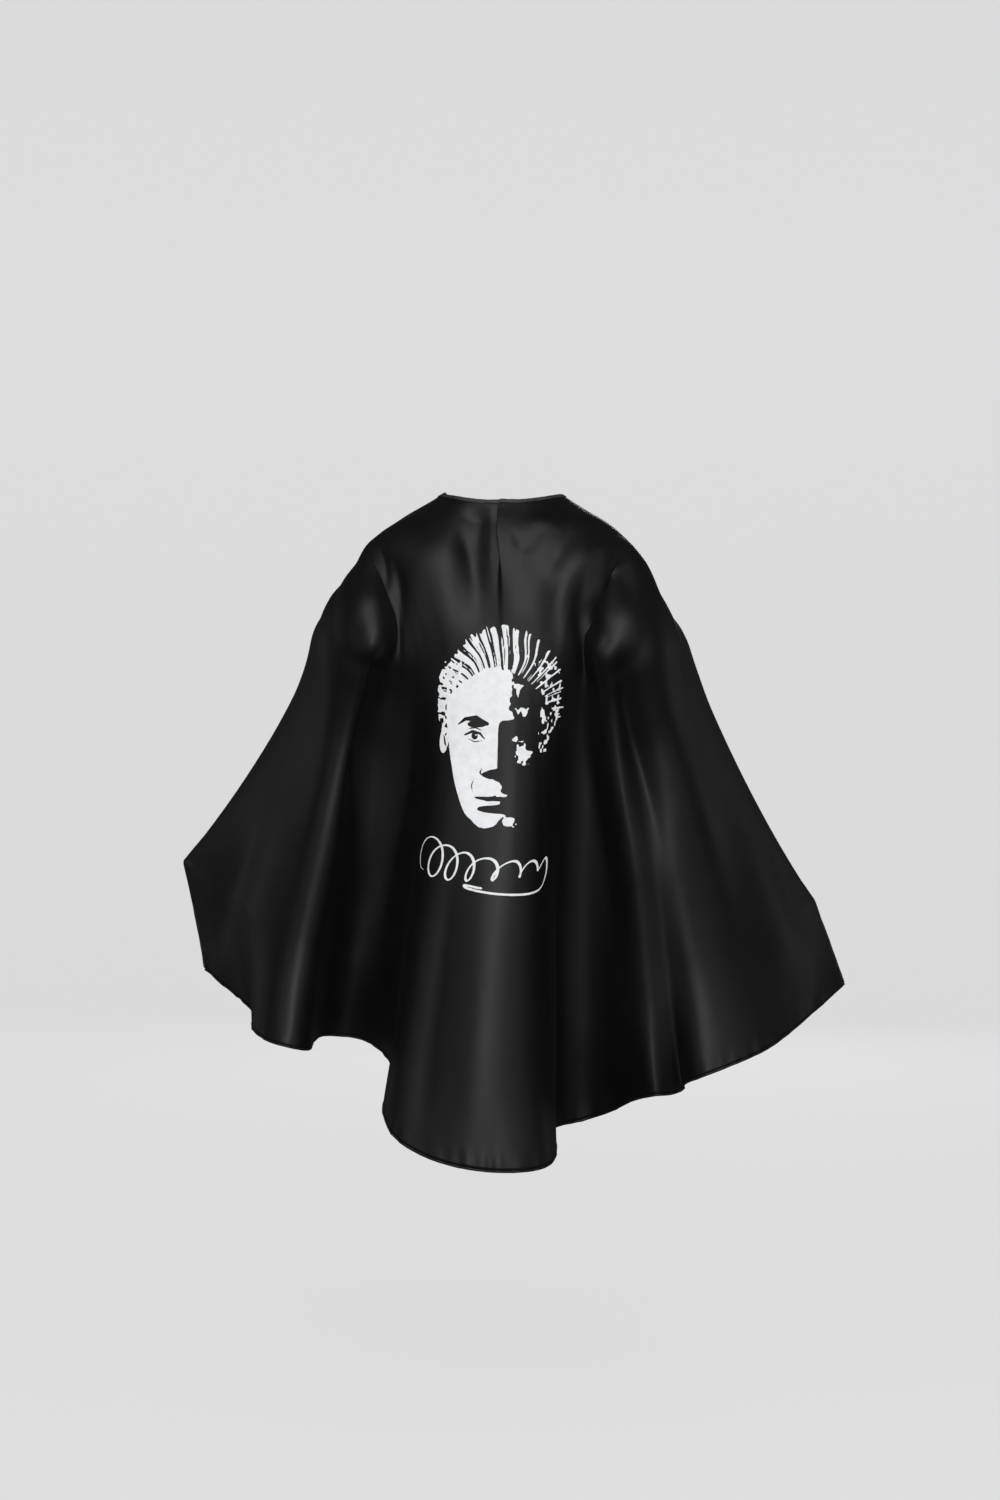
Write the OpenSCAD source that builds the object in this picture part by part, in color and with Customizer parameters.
// Hairdressing cape, shown as it hangs on a wearer with both arms held out.
// The origin is the centre of the neck opening. +Z is up, the printed back faces -Y,
// and the closure is at the throat, on the +Y side.

/* [Neck opening] */
// Width of the neck opening
neck_w = 154; // [140:1:170]
// Depth of the neck opening, front to back
neck_d = 140; // [130:1:150]
// Height of the binding tape on the neckline
binding_h = 6; // [4:0.5:9]

/* [Cloth] */
// Thickness of the cloth panel with its weave and finish
cloth_t = 1; // [0.6:0.1:1.4]
// Diameter of the rolled hem
hem_d = 3.2; // [2.4:0.1:4]
// Scale of the whole drape across the wearer, 1 is the size as worn
drape_wide = 1; // [0.95:0.01:1.05]
// Scale of the whole drape downwards, 1 is the size as worn
drape_long = 1; // [0.9:0.01:1.1]
// Number of facets round the cape, from front edge to front edge
columns = 92; // [60:2:92]
// Number of facets from the neckline to the hem
rows = 31; // [20:1:31]

/* [Centre-back pleat] */
// Length of the pleat below the neckline
pleat_len = 115; // [80:5:140]
// Width of the cloth folded under
pleat_w = 22; // [15:1:30]

/* [Closure] */
// Height of the closure tab and of the flap behind it
tab_h = 34; // [28:1:40]
// Length of the closure tab past its seam
tab_len = 82; // [74:1:84]
// Thickness of one layer of the tab's cloth
ply_t = 0.5; // [0.4:0.1:0.6]
// Thickness of the stiff interlining
stiff_t = 0.6; // [0.4:0.1:0.8]

/* [Snaps] */
// Diameter of a snap cap
cap_d = 12.4; // [10:0.2:14]
// Distance from one snap to the next
snap_pitch = 24; // [20:1:26]
// Radial clearance of a stud in its socket
snap_gap = 0.15; // [0.1:0.05:0.3]

/* [Print] */
// Thickness of the printed film
film_t = 0.2; // [0.15:0.05:0.4]
// Width of the printed portrait
portrait_w = 160; // [120:5:180]
// Height of the printed portrait
portrait_h = 280; // [240:5:300]

/* [Hidden] */

black_satin = [0.03, 0.03, 0.035];
black_tape = [0.05, 0.05, 0.055];
black_resin = [0.08, 0.08, 0.085];
grey_felt = [0.35, 0.35, 0.35];
white_ink = [0.93, 0.94, 0.95];

// ---- small helpers ----
function unit(v) = v / max(norm(v), 0.000001);
function hermite(p, q, m, n, t) = (2 * t ^ 3 - 3 * t ^ 2 + 1) * p + (t ^ 3 - 2 * t ^ 2 + t) * m
  + (3 * t ^ 2 - 2 * t ^ 3) * q + (t ^ 3 - t ^ 2) * n;
function as_worn(p) = [p.x * drape_wide, p.y, p.z * drape_long];

// Catmull-Rom curve through the points of a list whose places along u are in another list.
function span_of(us, u, i = 0) = i >= len(us) - 2 || u < us[i + 1] ? i : span_of(us, u, i + 1);
function slope_at(us, ps, i) = let (a = max(0, i - 1), b = min(len(us) - 1, i + 1))
  (ps[b] - ps[a]) / (us[b] - us[a]);
function curve(us, ps, u) = let (i = span_of(us, u), w = us[i + 1] - us[i])
  hermite(ps[i], ps[i + 1], slope_at(us, ps, i) * w, slope_at(us, ps, i + 1) * w, (u - us[i]) / w);

// ---- the drape: four level curves from the neckline to the hem ----
// u runs from the left front edge (0) round the back (0.5) to the right front edge (1).
// v runs from the neckline (0) to the hem (1).

// The neckline: an ellipse at the back, flatter at the throat, that ends at the tab seams.
seam_x = 44;
neck_end = 150;
throat_power = 0.75;
nape_z = -8;
side_rise = 13;
throat_drop = 18;
function neck_angle(u) = (2 * u - 1) * neck_end;
function neck_point(u) = let (a = neck_angle(u), s = sin(a), c = cos(a), front = c < 0)
  [neck_w / 2 * sign(s) * abs(s) ^ (front ? throat_power : 1),
   -neck_d / 2 * sign(c) * abs(c) ^ (front ? throat_power : 1),
   nape_z + side_rise * s ^ 2 - (front ? throat_drop * c ^ 2 : 0)];

// Over the shoulders.
shoulder_u = [0, 0.09, 0.18, 0.26, 0.34, 0.42, 0.5, 0.58, 0.66, 0.74, 0.82, 0.91, 1];
shoulder_p = [[-72, 72, -66], [-118, 44, -54], [-143, 4, -41], [-138, -38, -48], [-112, -70, -58],
  [-62, -94, -66], [0, -100, -72], [62, -96, -66], [112, -72, -58], [140, -38, -52],
  [147, 4, -47], [120, 44, -58], [74, 72, -66]];

// Level with the elbows, which push the cloth out at the back.
elbow_u = [0, 0.06, 0.12, 0.17, 0.215, 0.26, 0.31, 0.4, 0.5,
  0.6, 0.69, 0.735, 0.78, 0.825, 0.88, 0.94, 1];
elbow_p = [[-166, 78, -172], [-232, 24, -172], [-222, -46, -184], [-192, -96, -196], [-158, -132, -202],
  [-134, -100, -206], [-110, -96, -208], [-58, -114, -210], [0, -122, -212],
  [56, -116, -210], [100, -98, -208], [120, -126, -206], [146, -124, -204], [182, -100, -200],
  [216, -44, -188], [232, 24, -180], [166, 78, -176]];

// The hem, with the folds that hang from the elbows and between the shoulders.
hem_p = [[-376, 40, -590], [-350, 8, -607], [-322, -28, -622], [-302, -60, -636], [-304, -105, -648],
  [-282, -142, -660], [-252, -155, -667], [-232, -132, -673], [-230, -88, -668], [-225, -46, -664],
  [-200, -22, -666], [-170, -30, -670], [-144, -62, -684], [-128, -105, -706], [-145, -150, -738],
  [-130, -185, -768], [-88, -206, -790], [-37, -214, -802], [20, -210, -806], [54, -192, -803],
  [67, -155, -795], [62, -110, -783], [62, -66, -774], [98, -34, -771], [134, -50, -757],
  [160, -82, -738], [184, -112, -729], [208, -92, -731], [222, -78, -727], [220, -100, -716],
  [236, -120, -707], [272, -116, -694], [322, -90, -676], [366, -48, -650], [400, -2, -630],
  [433, 40, -608]];
function lengths(ps, i = 0, sum = 0) = i >= len(ps) ? [] :
  let (s = sum + (i == 0 ? 0 : norm(ps[i] - ps[i - 1]))) concat([s], lengths(ps, i + 1, s));
hem_s = lengths(hem_p);
hem_u = hem_s / hem_s[len(hem_s) - 1];

// The front edges are held up in the hands at grip_v, where the cloth next to the edge gathers,
// so the edge is straight from the throat to the hand and turns down there.
shoulder_v = 0.12;
elbow_v = 0.29;
grip_v = 0.82;
grip_reach = 0.078;
left_hand = [-410, 84, -455];
right_hand = [402, 84, -506];
// How far apart the gathered cloth stays in the hand, for a whole turn of u.
gather = [0, -450, 60];
function elbow_point(u) = curve(elbow_u, elbow_p, u);
function hem_point(u) = curve(hem_u, hem_p, u);
function held(u) = 1 / (1 + (u / grip_reach) ^ 4);
function plain(u, t) = elbow_point(u) * (1 - t) + hem_point(u) * t;
function pull(u) = let (p = plain(u, (grip_v - elbow_v) / (1 - elbow_v)))
  (left_hand + gather * u - p) * held(u) + (right_hand + gather * (1 - u) - p) * held(1 - u);
// Below the elbows the cloth hangs in straight lines that bow a little inwards.
belly = 40;
function below_elbow(u, v) = let (t = (v - elbow_v) / (1 - elbow_v),
    hat = v < grip_v ? (v - elbow_v) / (grip_v - elbow_v) : (1 - v) / (1 - grip_v))
  plain(u, t) + [0, belly * t * (1 - t), 0] + pull(u) * hat;
function drape(u, v) = let (n = neck_point(u), s = curve(shoulder_u, shoulder_p, u), e = elbow_point(u),
    upper = (e - n) / elbow_v, along = (s - n) / shoulder_v,
    lower = (hem_point(u) - e + [0, belly, 0]) / (1 - elbow_v) + pull(u) / (grip_v - elbow_v))
  as_worn(
    v < shoulder_v ? hermite(n, s, along * shoulder_v, (upper + along) / 2 * shoulder_v, v / shoulder_v)
    : v < elbow_v ? let (w = elbow_v - shoulder_v)
      hermite(s, e, (upper + along) / 2 * w, lower * w, (v - shoulder_v) / w)
    : below_elbow(u, v));

// Outward normal of the drape, and a point at a height above the cloth's middle.
step_u = 0.002;
step_v = 0.004;
function outward(u, v) = let (a = max(0, u - step_u), b = min(1, u + step_u),
    c = max(0, v - step_v), d = min(1, v + step_v))
  unit(cross(drape(u, d) - drape(u, c), drape(b, v) - drape(a, v)));
function lifted(u, v, h) = drape(u, v) + outward(u, v) * h;

// ---- closed solids from rows of points ----
// A slab: an outer grid and an inner grid of the same size, joined round their edges.
module slab(outer, inner) {
  rn = len(outer);
  cn = len(outer[0]);
  side = rn * cn;
  points = concat([for (r = outer) each r], [for (r = inner) each r]);
  function at(r, c, s) = s * side + r * cn + c;
  top = [for (r = [0 : rn - 2], c = [0 : cn - 2]) each
    [[at(r, c, 0), at(r, c + 1, 0), at(r + 1, c + 1, 0)],
     [at(r, c, 0), at(r + 1, c + 1, 0), at(r + 1, c, 0)]]];
  back = [for (r = [0 : rn - 2], c = [0 : cn - 2]) each
    [[at(r, c, 1), at(r + 1, c + 1, 1), at(r, c + 1, 1)],
     [at(r, c, 1), at(r + 1, c, 1), at(r + 1, c + 1, 1)]]];
  rim = concat([for (c = [0 : cn - 1]) [0, c]], [for (r = [1 : rn - 1]) [r, cn - 1]],
    [for (c = [cn - 2 : -1 : 0]) [rn - 1, c]], [for (r = [rn - 2 : -1 : 1]) [r, 0]]);
  wall = [for (i = [0 : len(rim) - 1]) let (p = rim[i], q = rim[(i + 1) % len(rim)]) each
    [[at(q[0], q[1], 0), at(p[0], p[1], 0), at(p[0], p[1], 1)],
     [at(q[0], q[1], 0), at(p[0], p[1], 1), at(q[0], q[1], 1)]]];
  polyhedron(points = points, faces = concat(top, back, wall));
}
// A tube: rings of points, all with the same count, capped at both ends.
module tube(rings) {
  n = len(rings[0]);
  points = [for (r = rings) each r];
  sides = [for (i = [0 : len(rings) - 2], j = [0 : n - 1]) let (k = (j + 1) % n) each
    [[i * n + j, (i + 1) * n + k, i * n + k], [i * n + j, (i + 1) * n + j, (i + 1) * n + k]]];
  caps = [[for (j = [0 : n - 1]) j], [for (j = [n - 1 : -1 : 0]) (len(rings) - 1) * n + j]];
  polyhedron(points = points, faces = concat(sides, caps));
}
// One ring of a tube about a point, from the two directions that span it.
function ring(p, a, b, ra, rb, sides = 8) = [for (j = [0 : sides - 1])
  p + a * ra * cos(360 * j / sides) + b * rb * sin(360 * j / sides)];

// ---- places on the printed back ----
// x runs across from the centre line, y down from the neckline, both along the cloth.
centre_u = 0.5;
above_elbow = norm(elbow_point(centre_u) - neck_point(centre_u));
below_len = norm(hem_point(centre_u) - elbow_point(centre_u));
function back_v(y) = y < above_elbow ? elbow_v * y / above_elbow
  : elbow_v + (1 - elbow_v) * (y - above_elbow) / below_len;
speed_u = 0.03;
function back_u(x, v) = centre_u
  + x * 2 * speed_u / norm(drape(centre_u + speed_u, v) - drape(centre_u - speed_u, v));
function on_back(x, y, h) = let (v = back_v(y)) lifted(back_u(x, v), v, h);

// ---- sub-parts: the panel and its edges ----
body_top_v = 0.004;
row_spread = 1.15;
function row_v(i) = body_top_v + (1 - body_top_v) * (i / rows) ^ row_spread;
module cape_body() {
  color(black_satin) slab(
    [for (i = [0 : rows]) [for (j = [0 : columns]) lifted(j / columns, row_v(i), cloth_t / 2)]],
    [for (i = [0 : rows]) [for (j = [0 : columns]) lifted(j / columns, row_v(i), -cloth_t / 2)]]);
}

// A folded tape over the top edge of the panel.
binding_steps = 60;
binding_t = 3;
binding_inset = 0.012;
binding_probe_v = 0.01;
module neck_binding() {
  color(black_tape) tube([for (i = [0 : binding_steps])
    let (u = binding_inset + (1 - 2 * binding_inset) * i / binding_steps,
      across = outward(u, body_top_v), down = unit(drape(u, binding_probe_v) - drape(u, 0)))
    ring(drape(u, 0) + down * binding_h / 4, across, down, binding_t / 2, binding_h / 2)]);
}

// A round edge along a line of the drape, from rings square to that line.
// Its rings are turned about a direction that no edge of the cape runs along.
roll_side = [0, 0.2, 1];
module edge_roll(path, d, sides = 6) {
  tube([for (i = [0 : len(path) - 1])
    let (a = path[max(0, i - 1)], b = path[min(len(path) - 1, i + 1)], along = unit(b - a),
      side = unit(cross(along, roll_side)), other = cross(along, side))
    ring(path[i], side, other, d / 2, d / 2, sides)]);
}
hem_steps = 130;
module hem_roll() {
  color(black_satin) edge_roll([for (i = [0 : hem_steps]) drape(i / hem_steps, 1)], hem_d);
}
front_top_v = 0.03;
front_low_v = 0.99;
front_steps = 34;
front_hem_share = 0.9;
front_hem_d = hem_d * front_hem_share;
module front_hem(u) {
  color(black_satin) edge_roll([for (i = [0 : front_steps])
    drape(u, front_top_v + (front_low_v - front_top_v) * i / front_steps)], front_hem_d);
}
module left_front_hem() { front_hem(0); }
module right_front_hem() { front_hem(1); }

// The cloth folded under at the centre back: it narrows downwards as the pleat opens.
fold_rows = 12;
fold_columns = 6;
fold_t = cloth_t * 1.4; // two thin layers and the air between them
fold_gap = 0.6;
fold_top = 8;
fold_narrow = 0.6;
function fold_at(i, j, h) = let (t = i / fold_rows)
  on_back(-pleat_w * (1 - fold_narrow * t) * (1 - j / fold_columns),
    fold_top + (pleat_len - fold_top) * t, h);
module pleat_fold() {
  h = -cloth_t / 2 - fold_gap;
  color(black_satin) slab(
    [for (i = [0 : fold_rows]) [for (j = [0 : fold_columns]) fold_at(i, j, h)]],
    [for (i = [0 : fold_rows]) [for (j = [0 : fold_columns]) fold_at(i, j, h - fold_t)]]);
}
// A short bar of thread that holds the pleat's top.
tack_w = 9;
tack_y = 7;
tack_d = 1.2;
tack_steps = 6;
tack_sides = 8;
module pleat_tack() {
  color(black_tape) edge_roll([for (i = [0 : tack_steps])
    on_back(tack_w * (i / tack_steps - 0.5), tack_y, cloth_t / 2 + tack_d / 2)], tack_d, tack_sides);
}

// ---- sub-parts: the closure ----
// Both flaps are flat and lie square to Y in their own frame, which is turned a little so that
// each one meets its own side of the neck. The tab is outside, the base flap inside.
closure_x = seam_x - 1;
closure_y = neck_point(1).y;
closure_top = neck_point(1).z;
ply_gap = 0.05;
flap_t = 2 * ply_t + stiff_t + 2 * ply_gap;
snap_room = 2;
closure_turn = asin((snap_room + flap_t) / 2 / closure_x);
base_len = 76;
tab_seam_gap = 1.4;
tab_seam_w = 2;
base_seam_gap = 0.6;
snap_z = closure_top - tab_h / 2;
snap_x = -26;
stud_count = 2;
socket_count = 3;
post_r = 1.1;
post_hole_r = 1.2;
tab_corner = 9;
base_corner = 7;
stiff_inset = 4;
min_corner = 2;
round_fn = 48;
bore_over = 1;
module closure_frame() {
  translate([0, closure_y, 0]) rotate([0, 0, -closure_turn]) children();
}
// A layer of a flap: y is its inner face. The far end is rounded and the snap posts pass through.
module layer(root_x, end_x, y, t, corner, count, inset = 0) {
  dir = sign(end_x - root_x);
  len_x = abs(end_x - root_x) - 2 * inset;
  h = tab_h - 2 * inset;
  r = max(corner - inset, min_corner);
  closure_frame() difference() {
    translate([root_x + dir * inset, y + t, closure_top - tab_h / 2]) rotate([90, 0, 0])
      linear_extrude(height = t) scale([dir, 1]) union() {
        translate([0, -h / 2]) square([len_x - r, h]);
        translate([0, -h / 2 + r]) square([len_x, h - 2 * r]);
        for (s = [-1, 1]) translate([len_x - r, s * (h / 2 - r)]) circle(r = r, $fn = round_fn);
      }
    for (i = [0 : count - 1]) translate([snap_x + i * snap_pitch, y - bore_over, snap_z])
      rotate([-90, 0, 0]) cylinder(r = post_hole_r, h = t + 2 * bore_over, $fn = round_fn);
  }
}
tab_root = closure_x - tab_seam_gap;
tab_end = tab_root - tab_len + tab_seam_w;
base_root = -closure_x + base_seam_gap;
base_end = base_root + base_len;
tab_y = snap_room / 2;
base_y = -snap_room / 2 - flap_t;
module tab_layer(y, t, inset = 0) { layer(tab_root, tab_end, y, t, tab_corner, stud_count, inset); }
module base_layer(y, t, inset = 0) { layer(base_root, base_end, y, t, base_corner, socket_count, inset); }
module tab_lining() { color(black_satin) tab_layer(tab_y, ply_t); }
module tab_interlining() { color(grey_felt) tab_layer(tab_y + ply_t + ply_gap, stiff_t, stiff_inset); }
module tab_outer() { color(black_satin) tab_layer(tab_y + flap_t - ply_t, ply_t); }
module base_lining() { color(black_satin) base_layer(base_y, ply_t); }
module base_interlining() { color(grey_felt) base_layer(base_y + ply_t + ply_gap, stiff_t, stiff_inset); }
module base_outer() { color(black_satin) base_layer(base_y + flap_t - ply_t, ply_t); }

// Rows of stitches along a flap's two long sides and across its end, on the face at y.
stitch = [2.4, 0.35, 0.5];
stitch_pitch = 3.4;
stitch_inset = 3;
module stitch_row(x0, x1, y, z) {
  n = floor(abs(x1 - x0) / stitch_pitch);
  for (i = [0 : n]) translate([x0 + sign(x1 - x0) * stitch_pitch * i, y, z]) cube(stitch, center = true);
}
module flap_stitches(root_x, end_x, y, corner) {
  dir = sign(end_x - root_x);
  far = end_x - dir * (corner + stitch_inset);
  mid = closure_top - tab_h / 2;
  drop = tab_h / 2 - stitch_inset;
  n = floor((tab_h - 2 * corner) / stitch_pitch);
  closure_frame() {
    for (s = [-1, 1]) stitch_row(root_x + dir * stitch_inset, far, y, mid + s * drop);
    for (i = [0 : n]) translate([end_x - dir * stitch_inset, y, mid + stitch_pitch * (i - n / 2)])
      rotate([0, 90, 0]) cube(stitch, center = true);
  }
}
stitch_gap = 0.02;
stitch_lift = stitch.y / 2 + stitch_gap;
module tab_stitching() {
  color(black_tape) flap_stitches(tab_root, tab_end, tab_y + flap_t + stitch_lift, tab_corner);
}
module base_stitching() {
  color(black_tape) flap_stitches(base_root, base_end, base_y - stitch_lift, base_corner);
}

// Resin snaps. Each has a domed cap whose post goes through the flap into a stud or a socket.
dome_h = 1.5;
dome_r = cap_d ^ 2 / 8 / dome_h + dome_h / 2;
dome_fn = 160;
ring_d = 10.6;
socket_h = 1.2;
socket_floor = 0.3;
stud_flange = 0.6;
knob_d = 4.6;
knob_h = 0.9;
seat_gap = 0.02;
stud_post = 0.4;
socket_post = 0.25;
post_sink = 0.1;
// A cap along +Z: the post stands out past the flap by post_out, the dome is at the top.
module snap_cap(post_out) {
  seat = post_out + flap_t + seat_gap;
  rotate_extrude($fn = round_fn) union() {
    square([post_r, seat + post_sink]);
    translate([0, seat]) intersection() {
      square([cap_d / 2, dome_h]);
      translate([0, dome_h - dome_r]) circle(r = dome_r, $fn = dome_fn);
    }
  }
}
module at_snaps(count) {
  closure_frame() for (i = [0 : count - 1]) translate([snap_x + i * snap_pitch, 0, snap_z]) children();
}
module snap_caps() {
  color(black_resin) at_snaps(stud_count)
    translate([0, tab_y - stud_post, 0]) rotate([-90, 0, 0]) snap_cap(stud_post);
}
module snap_backs() {
  color(black_resin) at_snaps(socket_count)
    translate([0, base_y + flap_t + socket_post, 0]) rotate([90, 0, 0]) snap_cap(socket_post);
}
// A stud: a flange against the tab, and a knob that points inwards, bored for its post.
module snap_studs() {
  color(black_resin) at_snaps(stud_count) translate([0, tab_y - seat_gap, 0]) rotate([90, 0, 0])
    difference() {
      union() {
        cylinder(d = ring_d, h = stud_flange - seat_gap, $fn = round_fn);
        cylinder(d = knob_d, h = stud_flange + knob_h, $fn = round_fn);
      }
      translate([0, 0, -bore_over])
        cylinder(r = post_hole_r, h = stud_flange + bore_over, $fn = round_fn);
    }
}
// A socket: a ring against the base flap, with a mouth for the knob and a floor bored for the post.
module snap_sockets() {
  color(black_resin) at_snaps(socket_count)
    translate([0, base_y + flap_t + seat_gap, 0]) rotate([-90, 0, 0])
      difference() {
        cylinder(d = ring_d, h = socket_h, $fn = round_fn);
        translate([0, 0, -bore_over])
          cylinder(r = post_hole_r, h = socket_h + 2 * bore_over, $fn = round_fn);
        translate([0, 0, socket_floor]) cylinder(r = knob_d / 2 + snap_gap, h = socket_h, $fn = round_fn);
      }
}

// ---- sub-parts: the print ----
portrait_top = 138;
film_rows = 24;
film_columns = 12;
film_gap = 0.3;
film_lift = cloth_t / 2 + film_gap;
// The outline of a head with swept hair: broad above, narrow at the chin.
head_blunt = 0.08;
head_rise = 0.8;
head_full = 0.6;
function head_half(t) = portrait_w / 2 * max(head_blunt, sin(180 * t ^ head_rise)) ^ head_full;
function head_at(i, j, h) = let (t = i / film_rows)
  on_back(head_half(t) * (2 * j / film_columns - 1), portrait_top + portrait_h * t, h);
module print_portrait() {
  color(white_ink) slab(
    [for (i = [0 : film_rows]) [for (j = [0 : film_columns]) head_at(i, j, film_lift + film_t)]],
    [for (i = [0 : film_rows]) [for (j = [0 : film_columns]) head_at(i, j, film_lift)]]);
}
// A pen flourish: a run of loops that falls back under itself as one long stroke.
flourish_w = 180;
flourish_gap = 28;
flourish_y = portrait_top + portrait_h + flourish_gap;
loop_h = 12;
loop_w = 9.6;
loop_count = 4;
loop_climb = 8;
pen_w = 3;
pen_probe = 0.004;
flourish_steps = 72;
loops_part = 0.66;
stroke_drop = 34;
stroke_back = 0.62;
stroke_power = 1.4;
stroke_turn = 2.2;
function loops(s) = let (a = 360 * loop_count * s)
  [flourish_w * (s - 0.5) - loop_w * sin(a), flourish_y - loop_h * cos(a) - loop_climb * s];
function long_stroke(s) = let (y = flourish_y - loop_h - loop_climb)
  [flourish_w * (0.5 - stroke_back * s ^ stroke_power),
   y + (stroke_drop + loop_h + loop_climb) * sin(90 * min(1, s * stroke_turn))];
function flourish(t) = t < loops_part ? loops(t / loops_part)
  : long_stroke((t - loops_part) / (1 - loops_part));
function pen_at(i, side, h) = let (t = i / flourish_steps, p = flourish(t),
    q = flourish(min(1, t + pen_probe)) - flourish(max(0, t - pen_probe)), n = unit([-q.y, q.x]),
    e = p + n * side * pen_w / 2) on_back(e.x, e.y, h);
module print_flourish() {
  color(white_ink) slab(
    [for (i = [0 : flourish_steps]) [for (s = [1, -1]) pen_at(i, s, film_lift + film_t)]],
    [for (i = [0 : flourish_steps]) [for (s = [1, -1]) pen_at(i, s, film_lift)]]);
}

cape_body();
neck_binding();
hem_roll();
left_front_hem();
right_front_hem();
pleat_fold();
pleat_tack();
tab_outer();
tab_lining();
tab_interlining();
tab_stitching();
base_outer();
base_lining();
base_interlining();
base_stitching();
snap_caps();
snap_studs();
snap_sockets();
snap_backs();
print_portrait();
print_flourish();
